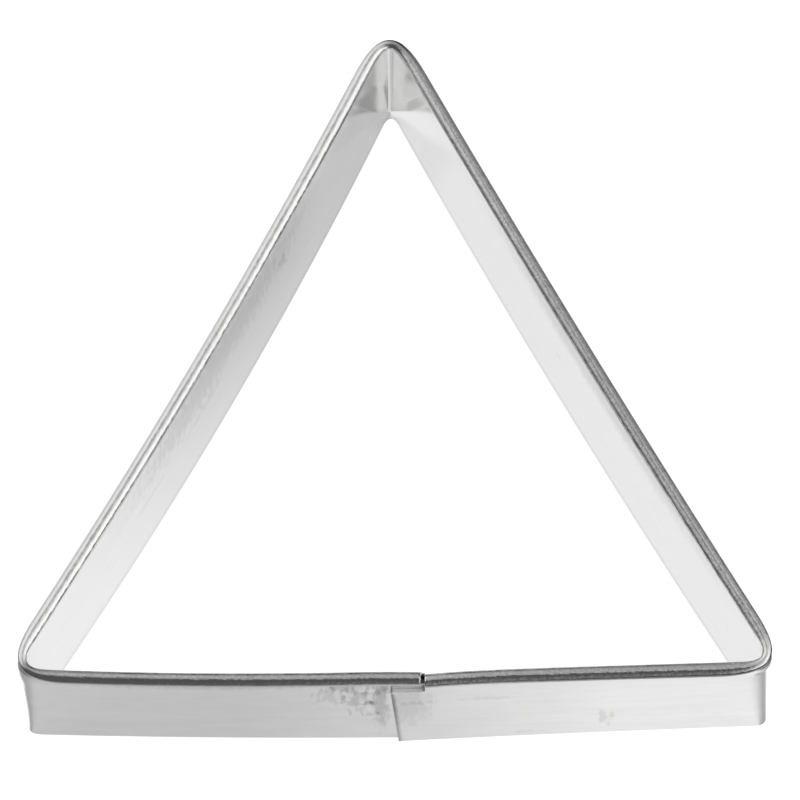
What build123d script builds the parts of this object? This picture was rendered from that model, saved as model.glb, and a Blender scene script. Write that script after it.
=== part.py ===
import os
from math import radians, sqrt, tan

from build123d import *

# Triangle cookie cutter: one strip of bright tinned steel, rolled over along its upper edge,
# bent three times and closed by a spot-welded lap seam in the middle of the front side.
# Frame: +Z up, the seam side towards -Y, origin under the middle of the cutter on the table.

# Strip
side_length = 60.0  # between the sharp corners of the inside face
band_height = 22.0  # cutting edge to the top of the rolled rim
sheet_thickness = 0.3
bend_radius = 1.0  # inside face of the three corner bends
left_bow = 0.95  # how far the middle of the left side is pushed in
right_bow = 0.45

# Rolled rim
rim_diameter = 1.0
curl_angle = 282.0  # turn of the curl, from the inside face over the top to its free edge

# Lap seam
seam_offset = 2.1  # end of the left half's rolled rim, right of the middle of the front side
seam_bulge = 0.78  # the outer layer stands this far out from the line of the front corners
seam_gap = 0.3  # between the two ends of the rolled rim
tab_height = 17.2  # right end of the strip, lying outside; its rim is notched off above the tab
tab_length = 2.35  # at the top of the tab, from the end of the left half's rim
tab_slant = 0.55  # the tab is this much shorter at the cutting edge
tab_corner_radius = 0.4
notch_radius = 0.3  # where the notch above the tab meets the rim
tongue_length = 0.65  # left end of the strip, which goes on inside without its rim
lap_clearance = 0.05  # between the two layers of the lap

# Spot welds in the lap
weld_diameter = 1.3
weld_bite = 0.12  # depth of the nugget in each layer
weld_edge = 0.06  # bevel round the nugget's faces
weld_inset = 0.9  # from the end of the left half's rim
lower_weld_height = 4.2
upper_weld_height = 12.8
weld_mark_diameter = 1.5  # dent left by the electrode
weld_mark_depth = 0.05

rim_radius = rim_diameter / 2
triangle_height = side_length * sqrt(3) / 2

# Corners of the inside face, placed so that the origin is under the middle of the plan
plan_middle = (triangle_height - bend_radius - seam_bulge) / 2
apex = Vector(0, triangle_height - plan_middle)
left_corner = Vector(-side_length / 2, -plan_middle)
right_corner = Vector(side_length / 2, -plan_middle)
seam_point = Vector(seam_offset, -plan_middle - seam_bulge)

# Directions at the seam: along the front side to the right, and square to it
right_run = (right_corner - seam_point).normalized()
outward = right_run.rotate(Axis.Z, -90)
upward = Vector(0, 0, 1)

# The rim begins right of the gap and ends left of it, one sheet further in,
# where the left half of the front has come in line with the right half
rim_start = seam_point + right_run * seam_gap
rim_end = seam_point - outward * (sheet_thickness + lap_clearance)
left_chord = rim_end - left_corner
front_bow = left_chord.length / 2 * tan(radians(left_chord.get_angle(right_run)) / 2)

# The strip with its rim runs once round the triangle
with BuildLine() as band_path:
    Line(rim_start, right_corner)
    SagittaArc(right_corner, apex, right_bow)
    SagittaArc(apex, left_corner, left_bow)
    SagittaArc(left_corner, rim_end, -front_bow)
    fillet(band_path.vertices(), bend_radius)

# Section of the strip: the wall stands on the cutting edge and curls outwards at the top
start_plane = Plane(origin=rim_start, x_dir=outward, z_dir=-right_run)
curl_centre = (rim_radius, band_height - rim_radius)
with BuildSketch(start_plane) as band_section:
    with BuildLine():
        Line((0, 0), (0, curl_centre[1]))
        outer_curl = CenterArc(curl_centre, rim_radius, 180, -curl_angle)
        inner_curl = CenterArc(curl_centre, rim_radius - sheet_thickness, 180, -curl_angle)
        Line(outer_curl @ 1, inner_curl @ 1)
        Polyline(inner_curl @ 0, (sheet_thickness, 0), (0, 0))
    make_face()

# The tab goes on straight to the left, outside the left half, to its slanted end
with BuildSketch(start_plane) as tab_section:
    Rectangle(sheet_thickness, tab_height, align=(Align.MIN, Align.MIN))
tab_foot_end = seam_point - right_run * (tab_length - tab_slant)
tab_end_rise = upward * tab_height - right_run * tab_slant
tab_end_plane = Plane(origin=tab_foot_end, x_dir=outward, z_dir=tab_end_rise.cross(outward))
notch_corner = rim_start + upward * tab_height

# The tongue goes on straight to the right, inside the right half, up to where the curl would begin
end_plane = Plane(origin=rim_end, x_dir=outward, z_dir=-right_run)
with BuildSketch(end_plane) as tongue_section:
    Rectangle(sheet_thickness, curl_centre[1], align=(Align.MIN, Align.MIN))

# Spot welds: bevelled discs between the layers, seated in hollows of their own shape
weld_thickness = lap_clearance + 2 * weld_bite
mark_sphere_radius = (weld_mark_diameter**2 / 4 + weld_mark_depth**2) / (2 * weld_mark_depth)
lap_half_thickness = sheet_thickness + lap_clearance / 2
mark_sphere_shift = lap_half_thickness + mark_sphere_radius - weld_mark_depth
lap_middle = rim_end + outward * lap_half_thickness - right_run * weld_inset
weld_planes = [
    Plane(origin=lap_middle + upward * height, x_dir=right_run, z_dir=outward)
    for height in (lower_weld_height, upper_weld_height)
]

with BuildPart(weld_planes[0]) as lower_spot_weld:
    Cylinder(weld_diameter / 2, weld_thickness)
    chamfer(lower_spot_weld.edges().filter_by(GeomType.CIRCLE), weld_edge)

with BuildPart(weld_planes[1]) as upper_spot_weld:
    Cylinder(weld_diameter / 2, weld_thickness)
    chamfer(upper_spot_weld.edges().filter_by(GeomType.CIRCLE), weld_edge)

with BuildPart() as cutter_strip:
    # Tab with its slanted end and rounded upper corner
    extrude(tab_section.sketch, amount=seam_gap + tab_length)
    split(bisect_by=tab_end_plane)
    tab_top_corners = cutter_strip.edges().filter_by(Axis(lap_middle, outward)).group_by(Axis.Z)[-1]
    fillet(tab_top_corners.sort_by(Axis.X)[0], tab_corner_radius)

    # Band with its rolled rim, the notch's rounded corner, and the tongue
    sweep(sections=band_section.sketch, path=band_path.wire())
    cross_edges = cutter_strip.edges().filter_by(Axis(lap_middle, outward))
    fillet(cross_edges.sort_by_distance(notch_corner)[0], notch_radius)
    extrude(tongue_section.sketch, amount=-tongue_length)

    # Seats of the nuggets, and the electrode dents on both sides of the lap
    add([lower_spot_weld.part, upper_spot_weld.part], mode=Mode.SUBTRACT)
    with Locations(*weld_planes):
        with Locations((0, 0, mark_sphere_shift), (0, 0, -mark_sphere_shift)):
            Sphere(mark_sphere_radius, mode=Mode.SUBTRACT)

os.makedirs("parts", exist_ok=True)
cutter_strip.part.label = "cutter_strip"
lower_spot_weld.part.label = "lower_spot_weld"
upper_spot_weld.part.label = "upper_spot_weld"
export_step(cutter_strip.part, "parts/cutter_strip.step")
export_step(lower_spot_weld.part, "parts/lower_spot_weld.step")
export_step(upper_spot_weld.part, "parts/upper_spot_weld.step")
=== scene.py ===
import math

import bpy
import numpy as np
from mathutils import Matrix, Vector


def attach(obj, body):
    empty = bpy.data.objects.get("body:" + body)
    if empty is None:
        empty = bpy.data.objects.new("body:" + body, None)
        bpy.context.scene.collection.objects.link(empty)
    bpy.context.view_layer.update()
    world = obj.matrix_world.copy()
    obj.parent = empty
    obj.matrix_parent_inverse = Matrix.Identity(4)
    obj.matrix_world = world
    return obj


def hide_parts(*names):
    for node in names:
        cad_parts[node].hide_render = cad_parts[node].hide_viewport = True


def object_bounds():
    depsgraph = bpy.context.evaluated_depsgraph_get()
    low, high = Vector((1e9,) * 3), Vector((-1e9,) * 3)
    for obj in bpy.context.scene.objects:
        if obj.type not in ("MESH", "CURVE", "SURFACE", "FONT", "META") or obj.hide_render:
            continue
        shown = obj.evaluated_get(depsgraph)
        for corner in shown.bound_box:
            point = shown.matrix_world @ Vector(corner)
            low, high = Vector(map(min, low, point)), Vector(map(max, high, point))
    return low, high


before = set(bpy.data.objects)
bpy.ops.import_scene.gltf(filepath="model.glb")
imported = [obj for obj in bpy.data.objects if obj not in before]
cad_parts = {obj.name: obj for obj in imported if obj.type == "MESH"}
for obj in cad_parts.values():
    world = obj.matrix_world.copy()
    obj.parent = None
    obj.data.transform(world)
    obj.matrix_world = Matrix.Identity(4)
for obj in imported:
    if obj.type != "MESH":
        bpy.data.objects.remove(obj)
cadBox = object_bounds()
mm = 0.001
print("frame loaded:", ", ".join(sorted(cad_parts)))


def smoothRamp(x, start, end):
    # 0 before start, 1 after end, with a soft S between them
    t = np.clip((x - start) / (end - start), 0, 1)
    return t * t * (3 - 2 * t)


def bell(x, reach):
    # 1 at no distance, falling off as a bell curve over that reach
    return np.exp(-((x / reach) ** 2))


def mixed(pair, share):
    # from the first value to the second by that share
    return pair[0] + (pair[1] - pair[0]) * share


def newObject(name, data):
    # an object in the scene for a mesh, lamp or camera
    thing = bpy.data.objects.new(name, data)
    bpy.context.scene.collection.objects.link(thing)
    return thing


# Tinplate strip

# all lengths in millimetres, in the frame's axes; the plan is that of the inside face
stripShape = {
    "height": (cadBox[1].z - cadBox[0].z) / mm,
    "sheet": 0.3,
    # outer layer at the seam, right corner, far corner, left corner, inner layer at the seam
    "rimCorners": [(2.10, -25.455), (29.715, -24.985), (0.124, 26.675), (-29.575, -24.915), (2.14, -25.447)],
    "footCorners": [(2.10, -25.90), (30.04, -25.02), (-0.02, 27.025), (-30.34, -25.04), (2.14, -25.66)],
    # how far the middles of front right, right, left and front left are pushed in
    "rimBows": [0.0, 0.335, 0.74, -0.30],
    "footBows": [0.05, 0.60, 1.17, -0.16],
    "rimBends": [1.22, 1.23, 1.30],  # at the right, far and left corners
    "footBends": [0.60, 0.75, 0.93],
    # rolled rim
    "rimDiameter": 1.10,
    "swell": 0.05,  # the roll is this much thicker along the front right
    "swellRise": (2, 12),  # between these distances right of the seam
    "swellFall": 4,  # and falling off again over this length before the right bend
    "curlTurn": 282,  # degrees
    "lean": 0.08,  # just under the roll the wall leans in
    "leanReach": 1.0,
    "pinches": [0.30, 0.30, 0.37],  # share of the roll's diameter lost at the right, far and left corners
    "pinchReach": 1.5,
    "footDraw": 0.48,  # the foot of the left side gives way before the left bend
    "footDrawReach": 2.5,
    "footDrawRise": (-0.6, 0.3),  # it sets in between these distances before the middle of that bend
    # bulges of the wall in the right and left bends: number of the bend, how far out, and from which depth
    # to which depth below the top of the wall they rise
    "ears": [(0, 0.42, 4.0, 1.5), (2, 0.20, 20.0, 6.0), (2, 0.21, 7.0, 2.0)],
    "earReach": 1.0,
    "earFade": 0.8,  # they fade out over this depth under the roll
    "endRound": 0.12,  # the cut ends of the roll are rounded off
    "endRoundTurn": 1.0,  # radians of the curl over which that sets in
    # lap seam: tab of the right end outside, tongue of the left end inside
    "seamGap": 0.33,
    "tabTop": 17.2,
    "tabLength": 2.35,
    "tabSlant": 0.55,
    "tabCorner": 0.22,
    "notchRound": 0.22,
    "cornerDepth": 1.5,  # the wall is drawn to these two round corners over this height under the tab's top
    "notchFade": 1.6,  # and right of the notch up to this distance from the seam
    "tongueLength": 0.65,
    "tongueTopLength": 0.28,  # above the tab it only closes the gap
    "tongueDrop": 0.6,  # it ends this far below the start of the roll
    "rightPush": 0.33,  # the rim of the outer layer stands out at the seam
    "rightPushReach": 4.5,
    "leftPush": 0.12,  # the rim of the inner layer, a little
    "leftPushReach": 5.0,
    # the inner layer gives way to the outer one: how far at the end of its rim,
    # and over which length before it, each at the foot and at the rim
    "tuck": (0.069, 0.0885),
    "tuckReach": (1.42, 2.45),
    "tuckFade": 1.0,  # above the tab it comes back, up to this far below the roll
    "tongueSlope": 0.099,  # the tongue's own slope inwards, at the rim
    "crease": 0.012,  # the tongue's end shows through as a faint crease
    "creaseWidth": 0.25,
    # electrode dents of the two spot welds
    "dentDepth": 0.02,
    "dentRadius": 0.75,
    "dentFlat": 0.6,  # share of that radius with the full depth
    "dentInset": 0.9,
    "dentHeights": [4.2, 12.8],
    # hand-made unevenness of the walls: a wave along the strip, and a slower one that runs aslant
    "waveDepth": 0.02,
    "waveLength": 13.0,
    "waveUp": 0.7,  # waves up the wall for each one along it
    "slowAlong": 0.43,
    "slowUp": 0.5,
    "waveRise": (4, 10),  # they set in between these distances from the seam
    # sheared edges
    "edgeRound": 0.006,
    "edgeAngle": 55,  # degrees; flatter folds stay as they are
    # steps of the grid
    "lapMargin": 0.4,  # its columns close up this far left of the tab's end
    "steps": {"round": 8, "tab": 20, "notch": 10, "front": 54, "bend": 24, "side": 110, "lap": 18, "tongue": 6,
              "lowerWall": 22, "underTabTop": 10, "upperWall": 20, "curl": 40},
}


def planArcs(corners, bows, bends):
    # the plan as seven curves in a row: side, bend, side, bend, side, bend, side;
    # a side is the circle through two corners whose middle stands bow inside its chord,
    # and a bend is the parabola between the points where a circle of its radius touches the two sides
    point = np.array(corners)
    chord = np.diff(point, axis=0)
    length = np.hypot(chord[:, 0], chord[:, 1])
    inward = np.stack([-chord[:, 1], chord[:, 0]], 1) / length[:, None]
    leastBow = 0.001  # so that a straight side has a circle too
    bow = np.where(np.abs(bows) < leastBow, leastBow, bows)
    radius = (length**2 / 4 + bow**2) / (2 * bow)
    centre = (point[:-1] + point[1:]) / 2 + inward * (bow - radius)[:, None]
    bend = np.array(bends)
    before, after = centre[:3], centre[1:]
    reachBefore, reachAfter = np.abs(radius[:3] + bend), np.abs(radius[1:] + bend)
    between = after - before
    gap = np.hypot(between[:, 0], between[:, 1])
    along = between / gap[:, None]
    across = np.stack([-along[:, 1], along[:, 0]], 1)
    x = (gap**2 + reachBefore**2 - reachAfter**2) / (2 * gap)
    y = np.sqrt(reachBefore**2 - x**2)
    foot = before + along * x[:, None]
    tries = np.stack([foot + across * y[:, None], foot - across * y[:, None]])
    nearest = np.linalg.norm(tries - point[1:4], axis=2).argmin(axis=0)
    bendCentre = tries[nearest, np.arange(3)]
    touchBefore = before + (bendCentre - before) * np.abs(radius[:3] / reachBefore)[:, None]
    touchAfter = after + (bendCentre - after) * np.abs(radius[1:] / reachAfter)[:, None]
    first, last, middle = np.empty((7, 2)), np.empty((7, 2)), np.empty((7, 2))
    first[0], first[1::2], first[2::2] = point[0], touchBefore, touchAfter
    last[:6:2], last[1::2], last[6] = touchBefore, touchAfter, point[4]
    middle[::2], middle[1::2] = centre, bendCentre
    start = np.arctan2(*(first - middle).T[::-1])
    turn = (np.arctan2(*(last - middle).T[::-1]) - start + np.pi) % (2 * np.pi) - np.pi
    radius = np.linalg.norm(first - middle, axis=1)
    halfway = start + turn / 2
    ray = np.stack([np.cos(halfway), np.sin(halfway)], 1)
    control = middle + ray * (radius / np.cos(turn / 2))[:, None]
    return {"centre": middle, "radius": radius, "start": start, "turn": turn,
            "first": first, "control": control, "last": last}


def alongPlan(arcs, arc, share):
    # points at a share of the way along the given curves, and the direction straight out there
    angle = arcs["start"][arc] + arcs["turn"][arc] * share
    ray = np.stack([np.cos(angle), np.sin(angle)], 1)
    onSide = arcs["centre"][arc] + arcs["radius"][arc][:, None] * ray
    sideOut = ray * np.sign(arcs["turn"][arc])[:, None]
    first, control, last = arcs["first"][arc], arcs["control"][arc], arcs["last"][arc]
    t = share[:, None]
    onBend = (1 - t) ** 2 * first + 2 * t * (1 - t) * control + t**2 * last
    ahead = (1 - t) * (control - first) + t * (last - control)
    bendOut = np.stack([ahead[:, 1], -ahead[:, 0]], 1) / np.linalg.norm(ahead, axis=1, keepdims=True)
    bent = (arc % 2 == 1)[:, None]
    return np.where(bent, onBend, onSide), np.where(bent, bendOut, sideOut)


def stripColumns(arcs, s):
    # columns of the grid from the tab's end round to the tongue's end: curve number and share along it,
    # close together in the lap, at the cut ends of the roll and in the bends
    steps = s["steps"]
    length = arcs["radius"] * np.abs(arcs["turn"])
    quarter = 1 - np.cos(np.linspace(0, np.pi / 2, steps["round"]))
    tabStart, tabEnd = s["tabCorner"] - s["tabLength"], s["seamGap"] - s["notchRound"]
    tab = np.concatenate([s["tabCorner"] * quarter - s["tabLength"],
                          np.linspace(tabStart, tabEnd, steps["tab"])[1:]])
    notch = s["seamGap"] - s["notchRound"] * quarter[-2::-1]
    rollStart = s["seamGap"] + s["endRound"] * quarter[1:]
    front = np.concatenate([np.linspace(rollStart[-1], s["notchFade"], steps["notch"])[1:],
                            np.linspace(s["notchFade"], length[0], steps["front"])[1:]])
    share = [np.concatenate([tab, notch, rollStart, front]) / length[0]]
    share += [np.linspace(0, 1, steps[part])[1:] for part in ("bend", "side", "bend", "side", "bend")]
    rimEnd = length[6]
    lapStart = rimEnd - s["tabLength"] - s["lapMargin"]
    left = np.concatenate([np.linspace(0, lapStart, steps["front"])[1:],
                           np.linspace(lapStart, rimEnd - s["endRound"], steps["lap"])[1:],
                           rimEnd - s["endRound"] * quarter[-2::-1],
                           rimEnd + np.linspace(0, s["tongueTopLength"], steps["tongue"])[1:],
                           rimEnd + np.linspace(s["tongueTopLength"], s["tongueLength"], steps["tongue"])[1:]])
    share.append(left / rimEnd)
    arc = np.repeat(np.arange(7), [len(x) for x in share])
    return arc, np.concatenate(share)


def roundedOff(distance, radius):
    # how far a quarter circle of that radius falls away at a distance from the edge
    inside = np.clip(radius - distance, 0, radius)
    return radius - np.sqrt(radius**2 - inside**2)


def stripSurface(s):
    # the inside face as a grid: column = place along the strip, row = way up the wall and round the curl.
    # wall point = foot plan + (rim plan - foot plan) * height share, moved out by pushes, dents and waves;
    # curl point = a circle that starts on the rim plan and rolls outwards, its radius less in the bends
    rim = planArcs(s["rimCorners"], s["rimBows"], s["rimBends"])
    foot = planArcs(s["footCorners"], s["footBows"], s["footBends"])
    arc, share = stripColumns(rim, s)
    rimPoint, rimOut = alongPlan(rim, arc, share)
    footPoint, footOut = alongPlan(foot, arc, share)
    stepLength = np.linalg.norm(np.diff(rimPoint, axis=0), axis=1)
    # distances to the right: from the outer layer's seam point, and from the end of the left half's rim
    run = np.concatenate([[0], np.cumsum(stepLength)]) - s["tabLength"]
    past = run - (run[-1] - s["tongueLength"])
    beforeRoll = run < s["seamGap"]
    firstHalf = run < run[-1] / 2
    bendRun = np.interp(np.arange(1, 6, 2) + 0.5, arc + share.clip(0, 1), run)  # middles of the three bends
    fromBend = run[:, None] - bendRun
    swell = s["swell"] * smoothRamp(run, *s["swellRise"])
    swell = swell * smoothRamp(run, bendRun[0], bendRun[0] - s["swellFall"])
    roll = s["rimDiameter"] / 2 * (1 + swell - bell(fromBend, s["pinchReach"]) @ s["pinches"])
    beforeLeft = -fromBend[:, 2]
    footDraw = s["footDraw"] * smoothRamp(beforeLeft, *s["footDrawRise"])
    footDraw = footDraw * bell(beforeLeft, s["footDrawReach"])

    # wall rows, close together under the notch and under the rim
    steps = s["steps"]
    wallTop = s["height"] - s["rimDiameter"] / 2
    cornerFoot = s["tabTop"] - s["cornerDepth"]
    height = np.concatenate([
        np.linspace(0, cornerFoot, steps["lowerWall"]),
        np.linspace(cornerFoot, s["tabTop"], steps["underTabTop"])[1:],
        np.linspace(s["tabTop"], wallTop, steps["upperWall"])[1:],
    ])[:, None]
    wallShare = height / wallTop
    leanSlope = math.atan(2 * s["lean"] / s["leanReach"])
    rollStart = s["height"] - roll * (1 - math.sin(leanSlope))
    climb = np.where(beforeRoll | (past > 0), height, wallShare * rollStart)

    # the tab's slanted end and rounded upper corner, and the notch's round corner, by warping the grid
    fullTab = s["tabLength"] - s["tabSlant"] * (1 - height / s["tabTop"])
    tabRun = np.where(run < 0, run * fullTab / s["tabLength"], run)
    cornerDrop = roundedOff(run + s["tabLength"], s["tabCorner"])
    notchLift = np.where(beforeRoll, roundedOff(s["seamGap"] - run, s["notchRound"]),
                         s["notchRound"] * (1 - smoothRamp(run, s["seamGap"], s["notchFade"])))
    atTabTop = smoothRamp(height, cornerFoot, s["tabTop"])
    overTabTop = 1 - smoothRamp(height, s["tabTop"], wallTop)
    climb = climb + (notchLift - cornerDrop) * atTabTop * overTabTop

    # how far the sheet stands out of the plain plan: pushes and tuck of the lap
    rightPush = s["rightPush"] * np.exp(-np.clip(run, 0, None) / s["rightPushReach"]) * firstHalf
    leftPush = s["leftPush"] * np.clip(1 + past / s["leftPushReach"], 0, None) ** 2
    tuck = mixed(s["tuck"], wallShare) * np.clip(1 + past / mixed(s["tuckReach"], wallShare), 0, None)
    tuck = tuck + s["tongueSlope"] * wallShare * np.clip(past, 0, None)
    aboveTab = smoothRamp(height, s["tabTop"], wallTop - s["tuckFade"])
    out = (rightPush + leftPush) * wallShare - tuck * (1 - aboveTab)
    # lean under the roll, foot before the left bend, ears of the bends
    out = out + s["lean"] * (wallShare - np.clip(1 - (wallTop - height) / s["leanReach"], 0, 1) ** 2)
    out = out - footDraw * (1 - wallShare)
    for bend, bulge, lowest, fullest in s["ears"]:
        rise = smoothRamp(height, wallTop - lowest, wallTop - fullest)
        fall = 1 - smoothRamp(height, wallTop - s["earFade"], wallTop)
        out = out + bulge * bell(fromBend[:, bend], s["earReach"]) * rise * fall
    # crease over the tongue's end, electrode dents, waves
    out = out - s["crease"] * bell(run - s["tongueLength"], s["creaseWidth"]) * overTabTop
    fromWeld = np.where(beforeRoll, tabRun, past) + s["dentInset"]
    fromDent = np.hypot(fromWeld, np.min(np.abs(height[..., None] - s["dentHeights"]), axis=2))
    dent = 1 - smoothRamp(fromDent, s["dentFlat"] * s["dentRadius"], s["dentRadius"])
    out = out + np.where(beforeRoll, -1, 1) * s["dentDepth"] * dent
    phase = 2 * np.pi / s["waveLength"]
    wave = np.sin(run * phase) * np.cos(height * phase * s["waveUp"])
    wave = wave + np.sin(run * phase * s["slowAlong"] + height * phase * s["slowUp"])
    awayFromSeam = smoothRamp(run, *s["waveRise"]) * smoothRamp(-past, *s["waveRise"])
    out = out + s["waveDepth"] / 2 * wave * awayFromSeam * np.sin(np.pi * wallShare)

    # place the wall
    slide = (tabRun - run)[..., None] * (rimPoint[1] - rimPoint[0]) / stepLength[0]
    plan = footPoint + (rimPoint - footPoint) * wallShare[..., None] + slide
    outward = footOut + (rimOut - footOut) * wallShare[..., None]
    outward = outward / np.linalg.norm(outward, axis=2, keepdims=True)
    wall = np.concatenate([plan + outward * out[..., None], climb[..., None]], axis=2)

    # roll the curl on from the top of the wall
    turned = np.linspace(leanSlope, np.radians(s["curlTurn"]), steps["curl"])[1:, None]
    endFall = roundedOff(np.minimum(run - s["seamGap"], -past), s["endRound"])
    curl = roll - endFall * smoothRamp(turned, leanSlope, leanSlope + s["endRoundTurn"])
    curlPlan = rimPoint + rimOut * (out[-1] + roll * math.cos(leanSlope) - curl * np.cos(turned))[..., None]
    curlHeight = s["height"] - roll + curl * np.sin(turned)
    rolled = np.concatenate([curlPlan, curlHeight[..., None]], axis=2)

    # places for the finish: along the strip and up the sheet,
    # and from the tab's end and past the end of the left half's rim
    upWall = np.broadcast_to(height, tabRun.shape)
    upCurl = np.broadcast_to(wallTop + s["rimDiameter"] / 2 * turned, curl.shape)
    along = np.concatenate([tabRun, np.broadcast_to(run, curl.shape)])
    up = np.concatenate([upWall, upCurl])
    tabReach = np.concatenate([fullTab, np.full_like(turned, s["tabLength"])])
    fromTabEnd = np.where(firstHalf, along, past) + tabReach
    sheetPlace = np.stack([along, up], axis=2)
    lapPlace = np.stack([fromTabEnd, np.broadcast_to(past, along.shape)], axis=2)

    # what is cut away above the tab and the tongue
    hair = 1e-6  # so that the points on the cut itself stay
    overTab = up > s["tabTop"] + hair
    cutTab = (run < s["seamGap"] - hair) & overTab
    cutTongue = (past > hair) & (up > wallTop - s["tongueDrop"])
    cutTongue |= (past > s["tongueTopLength"] + hair) & overTab
    return np.concatenate([wall, rolled]), {"sheet": sheetPlace, "lap": lapPlace}, cutTab | cutTongue


def gridPiece(name, place, flats, cut):
    # a mesh from a grid of points, with UV maps in metres;
    # a quad is left out where one of its corners is cut away
    rows, columns = place.shape[:2]
    number = np.arange(rows * columns).reshape(rows, columns)
    quad = np.stack([number[:-1, :-1], number[1:, :-1], number[1:, 1:], number[:-1, 1:]], axis=2)
    keep = ~(cut[:-1, :-1] | cut[1:, :-1] | cut[1:, 1:] | cut[:-1, 1:])
    quad = quad[keep]
    used, order = np.unique(quad, return_inverse=True)
    mesh = bpy.data.meshes.new(name)
    mesh.from_pydata((place.reshape(-1, 3)[used] * mm).tolist(), [], order.reshape(-1, 4).tolist())
    for layer, flat in flats.items():
        uv = mesh.uv_layers.new(name=layer)
        uv.data.foreach_set("uv", (flat.reshape(-1, 2)[quad.ravel()] * mm).astype(np.float32).ravel())
    mesh.polygons.foreach_set("use_smooth", np.ones(len(quad), bool))
    mesh.update()
    return newObject(name, mesh)


def buildStrip(s):
    piece = gridPiece("tinplate_strip", *stripSurface(s))
    thick = piece.modifiers.new("sheet", "SOLIDIFY")
    thick.thickness = s["sheet"] * mm
    thick.offset = -1
    thick.use_even_offset = True
    thick.material_offset = 1  # outside face
    thick.material_offset_rim = 2  # sheared edges
    edges = piece.modifiers.new("sheared_edges", "BEVEL")
    edges.width = s["edgeRound"] * mm
    edges.segments = 2
    edges.limit_method = "ANGLE"
    edges.angle_limit = math.radians(s["edgeAngle"])
    edges.harden_normals = True
    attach(piece, "root")
    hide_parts("cutter_strip")
    print("strip:", len(piece.data.polygons), "faces before its thickness")
    return piece


strip = buildStrip(stripShape)


# Finishes

def newMaterial(name):
    material = bpy.data.materials.new(name)
    material.use_nodes = True
    material.node_tree.nodes.clear()
    return material, material.node_tree


def addNode(tree, kind, **settings):
    # a node with its sockets and settings set by name
    node = tree.nodes.new(kind)
    for key, value in settings.items():
        if key in node.inputs:
            node.inputs[key].default_value = value
        else:
            setattr(node, key, value)
    return node


def mathNode(tree, operation, first, second):
    # a Math node on two sockets or numbers
    node = addNode(tree, "ShaderNodeMath", operation=operation)
    for socket, value in zip(node.inputs, (first, second)):
        if isinstance(value, (int, float)):
            socket.default_value = value
        else:
            tree.links.new(value, socket)
    return node.outputs[0]


def softStep(tree, value, start, end):
    # 0 at start, 1 at end, with a soft S between them
    step = addNode(tree, "ShaderNodeMapRange", interpolation_type="SMOOTHSTEP")
    step.inputs["From Min"].default_value, step.inputs["From Max"].default_value = start, end
    tree.links.new(value, step.inputs["Value"])
    return step.outputs["Result"]


def newGroup(name, inputs, outputs):
    # an empty node group with named sockets, and its two end nodes
    tree = bpy.data.node_groups.new(name, "ShaderNodeTree")
    for way, sockets in (("INPUT", inputs), ("OUTPUT", outputs)):
        for label, kind in sockets.items():
            tree.interface.new_socket(label, in_out=way, socket_type="NodeSocket" + kind)
    return tree, tree.nodes.new("NodeGroupInput"), tree.nodes.new("NodeGroupOutput")


def stretchedNoise(tree, place, perMetre, detail):
    # noise with its own number of features per metre along each axis
    scaled = addNode(tree, "ShaderNodeVectorMath", operation="MULTIPLY")
    tree.links.new(place, scaled.inputs[0])
    scaled.inputs[1].default_value = (*perMetre, 1)
    noise = addNode(tree, "ShaderNodeTexNoise", noise_dimensions="2D", Scale=1.0, Detail=detail)
    tree.links.new(scaled.outputs[0], noise.inputs["Vector"])
    return noise.outputs[0]


def swing(tree, noise, depth):
    # noise about its middle, times a depth
    return mathNode(tree, "MULTIPLY", mathNode(tree, "SUBTRACT", noise, 0.5), depth)


def rollingMarksGroup():
    # streaks that run along the strip, broad cloudy blotches, the fine orange peel of the tin coat
    # and the grain of the tin where the roll has stretched it; features per metre along and up, and detail
    marks = {"Streaks": ((380, 1000), 4), "Blotches": ((150, 330), 3),
             "Peel": ((1300, 4000), 2), "Grain": ((4300, 5200), 2)}
    tree, given, result = newGroup("rolling_marks", {"Place": "Vector"}, dict.fromkeys(marks, "Float"))
    for label, (perMetre, detail) in marks.items():
        tree.links.new(stretchedNoise(tree, given.outputs["Place"], perMetre, detail), result.inputs[label])
    return tree


def smudgeAndShadeGroup():
    # a ragged oval: 1 in its middle, 0 outside; noise pushes its edge in and out
    perMetre, detail = (2200, 430), 3  # of that noise, along and up
    outside, inside = 1.0, 0.25  # shares of the reach between which the mask rises
    sockets = {"Place": "Vector", "Centre": "Vector", "Reach": "Vector", "Ragged": "Float"}
    tree, given, result = newGroup("smudgeAndShade", sockets, {"Mask": "Float"})
    moved = addNode(tree, "ShaderNodeVectorMath", operation="SUBTRACT")
    tree.links.new(given.outputs["Place"], moved.inputs[0])
    tree.links.new(given.outputs["Centre"], moved.inputs[1])
    shares = addNode(tree, "ShaderNodeVectorMath", operation="DIVIDE")
    tree.links.new(moved.outputs[0], shares.inputs[0])
    tree.links.new(given.outputs["Reach"], shares.inputs[1])
    length = addNode(tree, "ShaderNodeVectorMath", operation="LENGTH")
    tree.links.new(shares.outputs[0], length.inputs[0])
    noise = stretchedNoise(tree, given.outputs["Place"], perMetre, detail)
    edge = mathNode(tree, "ADD", length.outputs["Value"], swing(tree, noise, given.outputs["Ragged"]))
    tree.links.new(softStep(tree, edge, outside, inside), result.inputs["Mask"])
    return tree


rollingMarks = rollingMarksGroup()
smudgeAndShade = smudgeAndShadeGroup()


def uvParts(tree, layer):
    # the two distances kept in one of the strip's UV maps
    flat = addNode(tree, "ShaderNodeUVMap", uv_map=layer)
    parts = addNode(tree, "ShaderNodeSeparateXYZ")
    tree.links.new(flat.outputs[0], parts.inputs[0])
    return parts.outputs["X"], parts.outputs["Y"]


def joined(tree, x, y):
    # two distances as one place
    both = addNode(tree, "ShaderNodeCombineXYZ")
    tree.links.new(x, both.inputs["X"])
    tree.links.new(y, both.inputs["Y"])
    return both.outputs[0]
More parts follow.
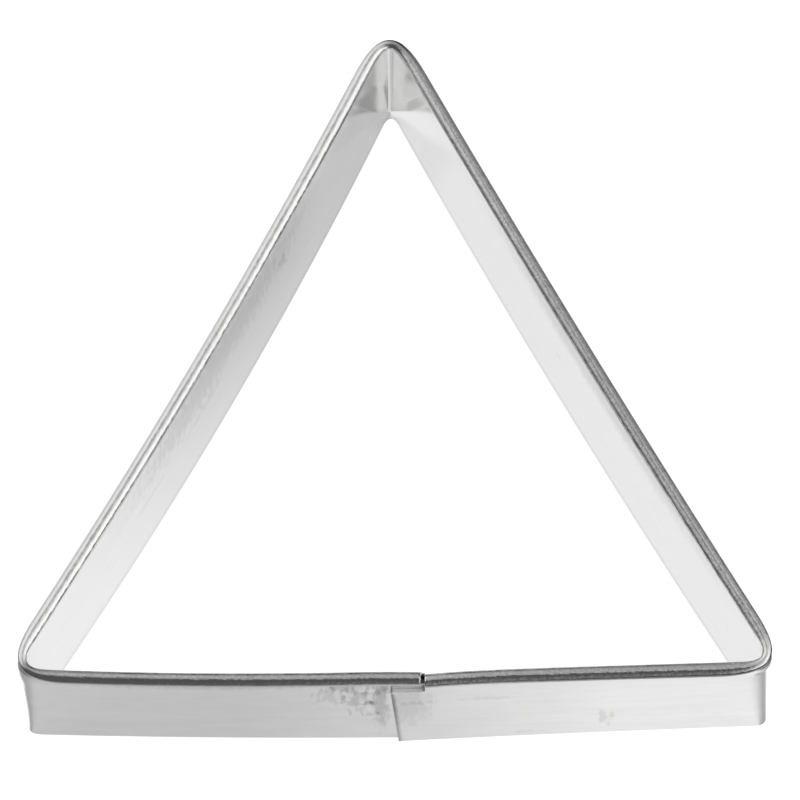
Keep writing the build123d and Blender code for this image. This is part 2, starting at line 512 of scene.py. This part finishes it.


# where the wear and the painted shade begin and where they are full, in millimetres
wearAndShade = {
    "foot": (2.0, 0.8),  # up the wall: darker along the cutting edge
    "lapEdge": (-0.16, -0.02),  # from the tab's end: a line of painted shade, darkest at the edge
    "lapFade": (0.45, 0.04),  # and fading to the right
    "lapTop": (0.0, -0.6),  # from the tab's top: there it ends
    "leftEnd": (-0.02, 0.04),  # past the end of the left half's rim: painted shade in the gap of the rim
    "rightEnd": (0.14, 0.06),  # from the start of the right half's rim: painted shade on its cut end
    "gapFoot": (1.2, 2.2),  # from the tab's top: there both of them begin
    "roll": (-0.9, -0.5),  # from the top of the rim: tin that the roll has stretched
}


def markStep(tree, distance, part, origin=0.0):
    # soft step of a distance over the stretch of that mark, counted from an origin in millimetres
    start, end = wearAndShade[part]
    return softStep(tree, distance, (origin + start) * mm, (origin + end) * mm)


def tinplate(name, f):
    # bright tinned sheet: its tone is broken up by streaks, blotches and smudges,
    # and by painted shade under the roll, beside the tab's end and in the gap of the rim; the tin's peel tilts
    # the gloss
    material, tree = newMaterial(name)
    along, up = uvParts(tree, "sheet")
    fromTabEnd, pastRim = uvParts(tree, "lap")
    places = {"along": joined(tree, along, up), "pastRim": joined(tree, pastRim, up)}
    tabTop, rimTop, rollStart = stripShape["tabTop"], stripShape["height"], stripShape["seamGap"]
    marks = addNode(tree, "ShaderNodeGroup", node_tree=rollingMarks)
    tree.links.new(places["along"], marks.inputs["Place"])
    share = 1.0
    for label, depth in (("Streaks", f["streaks"]), ("Blotches", f["blotches"])):
        share = mathNode(tree, "ADD", share, swing(tree, marks.outputs[label], depth))
    # darkening of the tone: a band at the foot, smudges, and painted shade under the roll, beside the tab's
    # end and in the gap of the rim
    dirtAndShade = mathNode(tree, "MULTIPLY", markStep(tree, up, "foot"), f["footBand"])
    for s in f["smudgesAndShades"]:
        spot = addNode(tree, "ShaderNodeGroup", node_tree=smudgeAndShade)
        tree.links.new(places[s["on"]], spot.inputs["Place"])
        spot.inputs["Centre"].default_value = (s["centre"][0] * mm, s["centre"][1] * mm, 0)
        spot.inputs["Reach"].default_value = (s["reach"][0] * mm, s["reach"][1] * mm, 1)
        spot.inputs["Ragged"].default_value = s["ragged"]
        dirtAndShade = mathNode(tree, "ADD", dirtAndShade, mathNode(tree, "MULTIPLY", spot.outputs["Mask"], s["depth"]))
    # painted shade: a dark line beside the tab's end, and dark in the gap of the rim
    if f["lapLine"]:
        line = markStep(tree, fromTabEnd, "lapEdge")
        line = mathNode(tree, "MULTIPLY", line, markStep(tree, fromTabEnd, "lapFade"))
        line = mathNode(tree, "MULTIPLY", line, markStep(tree, up, "lapTop", tabTop))
        line = mathNode(tree, "MULTIPLY", line, f["lapLine"])
        gap = markStep(tree, pastRim, "leftEnd")
        gap = mathNode(tree, "ADD", gap, markStep(tree, along, "rightEnd", rollStart))
        gap = mathNode(tree, "MULTIPLY", gap, markStep(tree, up, "gapFoot", tabTop))
        gap = mathNode(tree, "MULTIPLY", gap, f["gapShade"])
        dirtAndShade = mathNode(tree, "ADD", dirtAndShade, mathNode(tree, "ADD", line, gap))
    share = mathNode(tree, "MULTIPLY", share, mathNode(tree, "SUBTRACT", 1.0, dirtAndShade))
    tone = addNode(tree, "ShaderNodeVectorMath", operation="SCALE")
    tone.inputs[0].default_value = f["tint"]
    tree.links.new(share, tone.inputs["Scale"])
    rough = mathNode(tree, "MULTIPLY", marks.outputs["Blotches"], f["roughnessSpread"])
    rough = mathNode(tree, "ADD", rough, mathNode(tree, "MULTIPLY", dirtAndShade, f["dirtAndShadeRoughness"]))
    onRoll = markStep(tree, up, "roll", rimTop)
    peel = mathNode(tree, "MULTIPLY", onRoll, f["rollPeel"] - f["wallPeel"])
    peel = mathNode(tree, "MULTIPLY", marks.outputs["Peel"], mathNode(tree, "ADD", peel, f["wallPeel"]))
    grain = mathNode(tree, "MULTIPLY", onRoll, f["rollGrain"])
    grain = mathNode(tree, "MULTIPLY", marks.outputs["Grain"], grain)
    bump = addNode(tree, "ShaderNodeBump", Strength=1.0, Distance=f["peelDepth"] * mm)
    tree.links.new(mathNode(tree, "ADD", peel, grain), bump.inputs["Height"])
    metal = addNode(tree, "ShaderNodeBsdfPrincipled", Metallic=f["metallic"])
    tree.links.new(tone.outputs[0], metal.inputs["Base Color"])
    tree.links.new(mathNode(tree, "ADD", rough, f["roughness"]), metal.inputs["Roughness"])
    tree.links.new(bump.outputs[0], metal.inputs["Normal"])
    out = addNode(tree, "ShaderNodeOutputMaterial")
    tree.links.new(metal.outputs[0], out.inputs[0])
    return material


# centres and reaches of the smudges and of the painted shades in millimetres: along the strip or past the end
# of the left half's rim, and up the wall
brightFace = {
    "tint": (0.82, 0.82, 0.815), "metallic": 1.0,
    "roughness": 0.08, "roughnessSpread": 0.06, "dirtAndShadeRoughness": 0.5, "streaks": 0.05, "blotches": 0.06,
    "peelDepth": 0.013, "rollPeel": 1.6, "wallPeel": 0.12, "rollGrain": 0.6,
    "lapLine": 0.0, "gapShade": 0.0, "footBand": 0.11,
    "smudgesAndShades": [
        {"on": "along", "centre": (103.2, 13.6), "reach": (1.0, 2.2), "ragged": 2.0, "depth": 0.13},
        # painted shade on the upper left wall
        {"on": "along", "centre": (113.0, 17.2), "reach": (19.0, 6.2), "ragged": 1.0, "depth": 0.14},
        {"on": "along", "centre": (115.5, 11.5), "reach": (3.6, 1.5), "ragged": 2.0, "depth": 0.08},
        {"on": "along", "centre": (124.5, 11.0), "reach": (2.6, 0.9), "ragged": 1.8, "depth": 0.07},
        {"on": "along", "centre": (58.4, 11.4), "reach": (0.6, 0.9), "ragged": 0.8, "depth": 0.07},
        # painted shade under the roll along the right wall
        {"on": "along", "centre": (52.0, 20.0), "reach": (26.0, 4.2), "ragged": 0.5, "depth": 0.15},
    ],
}
outerFace = {
    "tint": (0.82, 0.82, 0.815), "metallic": 1.0,
    "roughness": 0.10, "roughnessSpread": 0.06, "dirtAndShadeRoughness": 0.5, "streaks": 0.09, "blotches": 0.14,
    "peelDepth": 0.013, "rollPeel": 1.6, "wallPeel": 0.12, "rollGrain": 0.6,
    "lapLine": 0.48, "gapShade": 0.93, "footBand": 0.0,
    "smudgesAndShades": [
        # painted shade beside the tab's end, up the wall
        {"on": "pastRim", "centre": (-3.2, 11.8), "reach": (0.9, 11.0), "ragged": 1.1, "depth": 0.30},
        {"on": "pastRim", "centre": (-3.9, 15.6), "reach": (0.8, 1.2), "ragged": 2.0, "depth": 0.15},
        {"on": "pastRim", "centre": (-4.1, 12.2), "reach": (0.9, 1.0), "ragged": 2.0, "depth": 0.20},
        {"on": "pastRim", "centre": (-3.9, 8.6), "reach": (0.8, 0.8), "ragged": 2.0, "depth": 0.16},
        {"on": "pastRim", "centre": (-5.1, 13.6), "reach": (1.2, 5.4), "ragged": 2.4, "depth": 0.23},
        {"on": "pastRim", "centre": (-7.2, 15.0), "reach": (1.4, 3.4), "ragged": 2.8, "depth": 0.15},
        {"on": "pastRim", "centre": (-10.2, 18.8), "reach": (1.8, 0.9), "ragged": 1.6, "depth": 0.13},
        # this and the next two: painted shade under the roll, near the seam and along the front left
        {"on": "pastRim", "centre": (-5.8, 19.0), "reach": (2.8, 4.0), "ragged": 0.9, "depth": 0.24},
        {"on": "pastRim", "centre": (-2.85, 18.8), "reach": (0.8, 4.5), "ragged": 0.5, "depth": 0.32},
        {"on": "pastRim", "centre": (-17.0, 20.2), "reach": (19.0, 3.6), "ragged": 0.4, "depth": 0.30},
        {"on": "along", "centre": (-1.0, 12.8), "reach": (2.6, 10.0), "ragged": 0.7, "depth": 0.17},
        {"on": "along", "centre": (-0.3, 13.2), "reach": (1.9, 1.0), "ragged": 1.8, "depth": 0.10},
        {"on": "along", "centre": (5.0, 13.6), "reach": (2.8, 0.8), "ragged": 1.8, "depth": 0.09},
        {"on": "along", "centre": (14.1, 5.2), "reach": (0.7, 3.0), "ragged": 2.4, "depth": 0.18},
        {"on": "along", "centre": (7.6, 1.4), "reach": (1.8, 0.8), "ragged": 1.6, "depth": 0.10},
    ],
}
shearedEdge = {
    "tint": (0.98, 0.98, 0.97), "metallic": 0.0,
    "roughness": 0.50, "roughnessSpread": 0.15, "dirtAndShadeRoughness": 0.1, "streaks": 0.15, "blotches": 0.10,
    "peelDepth": 0.02, "rollPeel": 0.4, "wallPeel": 0.4, "rollGrain": 0.0,
    "lapLine": 0.1, "gapShade": 0.93, "footBand": 0.0, "smudgesAndShades": [],
}
# in the order of the strip's slots: inside face, outside face, sheared edges
stripFinishes = {"bright_tinplate": brightFace, "outer_tinplate": outerFace, "sheared_edge": shearedEdge}
for name, finish in stripFinishes.items():
    strip.data.materials.append(tinplate(name, finish))


# Spot welds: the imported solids, in dull remelted steel

weldFinish = {
    "tint": (0.55, 0.54, 0.52), "roughness": 0.42, "roughnessSpread": 0.2,
    "clouds": 0.3, "cloudsPerMetre": 4000.0, "cloudDetail": 3.0,
}


def remeltedSteel(f):
    # dull steel whose tone and gloss change from cloud to cloud
    material, tree = newMaterial("remelted_steel")
    place = addNode(tree, "ShaderNodeTexCoord").outputs["Object"]
    clouds = addNode(tree, "ShaderNodeTexNoise", Scale=f["cloudsPerMetre"], Detail=f["cloudDetail"])
    tree.links.new(place, clouds.inputs["Vector"])
    tone = addNode(tree, "ShaderNodeVectorMath", operation="SCALE")
    tone.inputs[0].default_value = f["tint"]
    share = mathNode(tree, "ADD", swing(tree, clouds.outputs[0], f["clouds"]), 1.0)
    tree.links.new(share, tone.inputs["Scale"])
    metal = addNode(tree, "ShaderNodeBsdfPrincipled", Metallic=1.0)
    tree.links.new(tone.outputs[0], metal.inputs["Base Color"])
    rough = mathNode(tree, "ADD", swing(tree, clouds.outputs[0], f["roughnessSpread"]), f["roughness"])
    tree.links.new(rough, metal.inputs["Roughness"])
    out = addNode(tree, "ShaderNodeOutputMaterial")
    tree.links.new(metal.outputs[0], out.inputs[0])
    return material


weldSteel = remeltedSteel(weldFinish)
for node in ("lower_spot_weld", "upper_spot_weld"):
    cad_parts[node].data.materials.clear()
    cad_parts[node].data.materials.append(weldSteel)
print("finishes done")


# Stage: pale floor, cards, soft box and studio sky

# the floor is white to the camera; in the metal it shows a painted glow, brightest along the foot of the
# cutter and falling off from there. A painted shade = depth * the product of soft ramps, each along a
# direction on the floor from one distance to another in millimetres, and of fans round a corner's foot, each
# from one angle to another in degrees, counted outwards from the front. A shade marked again shows only in the
# metal's image of itself
backward, frontward, rightward, leftward = (0, 1), (0, -1), (1, 0), (-1, 0)
leftOut, rightOut = (-0.866, 0.5), (0.866, 0.5)  # straight out of the left and right sides
leftCorner, rightCorner = (-29.6, -25.2), (29.3, -25.2)
floorTone = {
    "size": 3.0,  # metres
    "glow": 0.98,  # to the camera
    "diffuse": 0.27,
    "near": 0.83,  # in the metal, before the shades
    "least": 0.04,
    "secondLook": 0.88,  # the floor is dimmer in the metal's image of itself
    "unlit": [(frontward, 40, 110), (rightOut, 20, 45)],  # beyond these the metal shows it without lamp light
    "shades": [
        {"depth": 0.28, "ramps": [(backward, -22, 14), (leftOut, 13.9, 13.4), (rightward, 0.1, -0.1)]},
        {"depth": 0.09,
         "ramps": [(backward, -22, 8), (backward, 20, 12), (leftOut, 12.6, 9.5), (rightOut, 10, 7)]},
        {"depth": 0.28, "ramps": [(frontward, 24.7, 25.1), (rightward, 20, -4)]},
        {"depth": 0.09, "ramps": [(frontward, 24.7, 25.1), (leftward, 0, 14)]},
        {"depth": 0.05, "ramps": [(frontward, 24.7, 25.1), (rightward, 4, 14)]},
        {"depth": 0.23, "ramps": [(frontward, 29.4, 36)]},
        {"depth": 0.36, "ramps": [(frontward, 29.4, 36), (rightward, -4, 20)]},
        {"depth": 0.10, "ramps": [(frontward, 40, 60)]},
        {"depth": 0.12, "ramps": [(leftOut, 16.5, 26)]},
        {"depth": 0.20, "ramps": [(leftOut, 30, 80)]},
        {"depth": 0.35, "ramps": [(rightOut, 16, 28)]},
        {"depth": 0.22, "ramps": [(rightOut, 30, 90)]},
        {"depth": 0.08, "ramps": [(leftOut, 11.5, 13), (rightOut, 11.5, 13)]},
        {"depth": 0.07, "ramps": [(backward, 19, 22), (rightward, 0, 0.3)]},
        {"depth": 0.38, "again": True, "ramps": [(backward, 23.9, 24.2), (rightward, 0.48, 0.60)]},
        {"depth": 0.30, "again": True,
         "ramps": [(backward, 23.3, 23.7), (backward, 24.2, 23.9), (rightward, 0.75, 0.95)]},
        {"depth": -0.12, "again": True, "ramps": [(backward, 19.5, 21), (rightward, 0.60, 0.50)]},
        {"depth": -0.18, "again": True,
         "ramps": [(backward, 19.5, 21), (rightward, 0.1, -0.1), (rightward, -0.9, -0.7)]},
        {"depth": 0.10, "again": True, "ramps": [(backward, 19.5, 21), (rightward, -0.7, -0.9)]},
        {"depth": 0.36, "ramps": [(leftOut, 13.6, 14.1), (frontward, 25.1, 24.7)],
         "fans": [(leftCorner, 150, 100)]},
        {"depth": 0.195, "fans": [(leftCorner, -15, 80), (leftCorner, 150, 100)]},
        {"depth": 0.53, "fans": [(rightCorner, -15, 95), (rightCorner, 150, 100)]},
        {"depth": 0.55, "ramps": [(leftOut, 8, 6.6), (rightOut, 8, 6.6), (backward, -20.3, -18.9)]},
    ],
}


def distanceAlong(tree, place, direction):
    # distance of a place along a direction
    distance = addNode(tree, "ShaderNodeVectorMath", operation="DOT_PRODUCT")
    tree.links.new(place, distance.inputs[0])
    distance.inputs[1].default_value = direction
    return distance.outputs["Value"]


def rampAlong(tree, place, direction, start, end):
    # soft step of that distance
    return softStep(tree, distanceAlong(tree, place, direction), start, end)


def fanAround(tree, place, centre, start, end):
    # soft step of the angle round a point, counted from the front towards the nearer side
    side = math.copysign(1, centre[0])
    across = mathNode(tree, "ADD", distanceAlong(tree, place, (side / mm, 0, 0)), -abs(centre[0]))
    ahead = mathNode(tree, "ADD", distanceAlong(tree, place, (0, -1 / mm, 0)), centre[1])
    angle = mathNode(tree, "ARCTAN2", across, ahead)
    return softStep(tree, angle, math.radians(start), math.radians(end))


def inOwnImage(tree, path):
    # 1 in the metal's image of itself, where the light has left the metal twice, and 0 at the first look
    return mathNode(tree, "GREATER_THAN", path.outputs["Ray Depth"], 1.5)


def flatPiece(name, corners):
    # one flat face through its corners
    mesh = bpy.data.meshes.new(name)
    mesh.from_pydata(corners, [], [range(len(corners))])
    return newObject(name, mesh)


def buildFloor(f):
    half = f["size"] / 2
    floor = flatPiece("floor", [(-half, -half, 0), (half, -half, 0), (half, half, 0), (-half, half, 0)])
    material, tree = newMaterial("pale_floor")
    out = addNode(tree, "ShaderNodeOutputMaterial")
    path = addNode(tree, "ShaderNodeLightPath")
    place = addNode(tree, "ShaderNodeTexCoord").outputs["Object"]
    again = inOwnImage(tree, path)
    tone = f["near"]
    for shade in f["shades"]:
        depth = mathNode(tree, "MULTIPLY", again, shade["depth"]) if "again" in shade else shade["depth"]
        for direction, start, end in shade.get("ramps", []):
            step = rampAlong(tree, place, (*direction, 0), start * mm, end * mm)
            depth = mathNode(tree, "MULTIPLY", step, depth)
        for centre, start, end in shade.get("fans", []):
            depth = mathNode(tree, "MULTIPLY", fanAround(tree, place, centre, start, end), depth)
        tone = mathNode(tree, "SUBTRACT", tone, depth)
    tone = mathNode(tree, "MAXIMUM", tone, f["least"])
    dim = mathNode(tree, "SUBTRACT", 1, mathNode(tree, "MULTIPLY", again, 1 - f["secondLook"]))
    inMetal = mathNode(tree, "MULTIPLY", path.outputs["Is Glossy Ray"], mathNode(tree, "MULTIPLY", tone, dim))
    seen = mathNode(tree, "MULTIPLY", path.outputs["Is Camera Ray"], f["glow"])
    glow = addNode(tree, "ShaderNodeEmission")
    tree.links.new(mathNode(tree, "ADD", seen, inMetal), glow.inputs["Strength"])
    lamps = 1.0
    for direction, start, end in f["unlit"]:
        step = rampAlong(tree, place, (*direction, 0), start * mm, end * mm)
        step = mathNode(tree, "MULTIPLY", step, path.outputs["Is Glossy Ray"])
        lamps = mathNode(tree, "MULTIPLY", lamps, mathNode(tree, "SUBTRACT", 1, step))
    lit = addNode(tree, "ShaderNodeBsdfDiffuse")
    tree.links.new(mathNode(tree, "MULTIPLY", lamps, f["diffuse"]), lit.inputs["Color"])
    both = addNode(tree, "ShaderNodeAddShader")
    tree.links.new(glow.outputs[0], both.inputs[0])
    tree.links.new(lit.outputs[0], both.inputs[1])
    tree.links.new(both.outputs[0], out.inputs[0])
    floor.data.materials.append(material)


buildFloor(floorTone)

# upright cards in the far corner, which only the metal shows, glow as painted reflections and part the floor
# that the left wall mirrors from the floor of the right wall: the first is there at the first look, and the
# two marked again in the metal's image of itself. An outline gives distances back and up
cornerCards = [
    {"name": "corner_card", "again": False, "x": 0.0, "toLeft": 0.57, "toRight": 0.92,
     "outline": [(26.4, 0), (26.4, 1.1), (25.5, 2.85), (24.4, 4.85),
                 (23.4, 6.4), (22.6, 7.2), (20.5, 5.6), (18.5, 0)]},
    {"name": "right_corner_card", "again": True, "x": 0.5, "toLeft": 0.74, "toRight": 0.38,
     "outline": [(25.9, 0), (25.9, 8.0), (25.55, 7.0), (25.35, 4.9),
                 (24.7, 4.3), (24.1, 2.9), (23.6, 1.6), (23.3, 0)]},
    {"name": "left_corner_card", "again": True, "x": -0.5, "toLeft": 0.57, "toRight": 0.47,
     "outline": [(25.65, 0), (25.65, 2.6), (25.3, 3.0), (24.7, 2.9), (24.3, 1.5), (24.1, 0)]},
]


def buildCornerCard(c):
    # a card that glows as a painted reflection in one tone to the left and in another to the right, and is
    # clear at the other look
    card = flatPiece(c["name"], [(c["x"] * mm, y * mm, z * mm) for y, z in c["outline"]])
    material, tree = newMaterial(c["name"])
    out = addNode(tree, "ShaderNodeOutputMaterial")
    side = addNode(tree, "ShaderNodeNewGeometry").outputs["Backfacing"]
    path = addNode(tree, "ShaderNodeLightPath")
    tone = mathNode(tree, "ADD", mathNode(tree, "MULTIPLY", side, c["toLeft"] - c["toRight"]), c["toRight"])
    glow = addNode(tree, "ShaderNodeEmission")
    tree.links.new(tone, glow.inputs["Strength"])
    clear = addNode(tree, "ShaderNodeBsdfTransparent")
    pick = addNode(tree, "ShaderNodeMixShader")
    tree.links.new(inOwnImage(tree, path), pick.inputs[0])
    for socket, shader in zip(pick.inputs[1:], (clear, glow) if c["again"] else (glow, clear)):
        tree.links.new(shader.outputs[0], socket)
    tree.links.new(pick.outputs[0], out.inputs[0])
    card.data.materials.append(material)
    card.visible_camera = card.visible_diffuse = card.visible_shadow = False


for card in cornerCards:
    buildCornerCard(card)

# metres and degrees; azimuth counts from the right towards the back
softBox = {
    "name": "key_box", "azimuth": -20, "elevation": 50, "distance": 0.6,
    "size": (0.5, 0.45), "level": 1.6,
}


def towardsSky(azimuth, elevation):
    # direction to a place in the sky
    a, e = math.radians(azimuth), math.radians(elevation)
    return Vector((math.cos(a) * math.cos(e), math.sin(a) * math.cos(e), math.sin(e)))


def buildSoftBox(b):
    lamp = bpy.data.lights.new(b["name"], "AREA")
    lamp.shape = "RECTANGLE"
    lamp.size, lamp.size_y = b["size"]
    lamp.energy = b["level"] * math.pi * b["size"][0] * b["size"][1]  # so that its face shines at that level
    box = newObject(b["name"], lamp)
    towards = towardsSky(b["azimuth"], b["elevation"])
    box.location = towards * b["distance"]
    box.rotation_euler = towards.to_track_quat("Z", "Y").to_euler()
    box.visible_glossy = False  # a lobe of the sky stands for it in the metal


buildSoftBox(softBox)

# tone of the sky = base tone + the sum of soft lobes, each between two cosines of the angle from its middle;
# white to the camera
skyTone = {
    "base": 0.34,
    "lobes": [
        {"azimuth": 344, "elevation": 2, "level": 1.06, "spread": (0.19, 0.91)},
        {"azimuth": 149, "elevation": 32, "level": 0.42, "spread": (0.62, 0.85)},
        {"azimuth": 157, "elevation": 39, "level": 0.17, "spread": (0.85, 0.95)},
        {"azimuth": 20, "elevation": 72, "level": 0.35, "spread": (0.92, 0.985)},
        {"azimuth": 249, "elevation": 39, "level": -0.25, "spread": (0.24, 0.76)},
        {"azimuth": 25, "elevation": -20, "level": -0.57, "spread": (0.16, 0.96)},
    ],
    "least": 0.04,
}


def buildSky(s):
    world = bpy.data.worlds.new("studio")
    world.use_nodes = True
    tree = world.node_tree
    tree.nodes.clear()
    out = addNode(tree, "ShaderNodeOutputWorld")
    path = addNode(tree, "ShaderNodeLightPath")
    place = addNode(tree, "ShaderNodeTexCoord").outputs["Generated"]
    tone = s["base"]
    for lobe in s["lobes"]:
        step = rampAlong(tree, place, towardsSky(lobe["azimuth"], lobe["elevation"]), *lobe["spread"])
        tone = mathNode(tree, "ADD", tone, mathNode(tree, "MULTIPLY", step, lobe["level"]))
    tone = mathNode(tree, "MAXIMUM", tone, s["least"])
    sky = addNode(tree, "ShaderNodeBackground")
    tree.links.new(tone, sky.inputs["Color"])
    white = addNode(tree, "ShaderNodeBackground", Color=(1, 1, 1, 1))
    pick = addNode(tree, "ShaderNodeMixShader")
    tree.links.new(path.outputs["Is Camera Ray"], pick.inputs[0])
    tree.links.new(sky.outputs[0], pick.inputs[1])
    tree.links.new(white.outputs[0], pick.inputs[2])
    tree.links.new(pick.outputs[0], out.inputs[0])
    bpy.context.scene.world = world


buildSky(skyTone)
print("stage done")


# Camera

# millimetres and degrees; azimuth counts from the front towards the right
cameraPlace = {
    "aim": (0.54, 2.317, 0.0), "distance": 687.6, "azimuth": 1.83, "elevation": 75.04, "roll": -2.42,
    "focal": 377.96, "sensor": 36.0,
}


def buildCamera(c):
    data = bpy.data.cameras.new("camera")
    data.lens, data.sensor_width = c["focal"], c["sensor"]
    camera = newObject("camera", data)
    a, e, r = (math.radians(c[key]) for key in ("azimuth", "elevation", "roll"))
    back = Vector((math.sin(a) * math.cos(e), -math.cos(a) * math.cos(e), math.sin(e)))
    right = (-back).cross(Vector((0, 0, 1))).normalized()
    up = right.cross(-back)
    across = math.cos(r) * right + math.sin(r) * up
    upright = math.cos(r) * up - math.sin(r) * right
    turned = Matrix((across, upright, back)).transposed()
    camera.matrix_world = Matrix.Translation((Vector(c["aim"]) + back * c["distance"]) * mm) @ turned.to_4x4()
    bpy.context.scene.camera = camera


buildCamera(cameraPlace)
bpy.context.scene.view_settings.view_transform = "Standard"
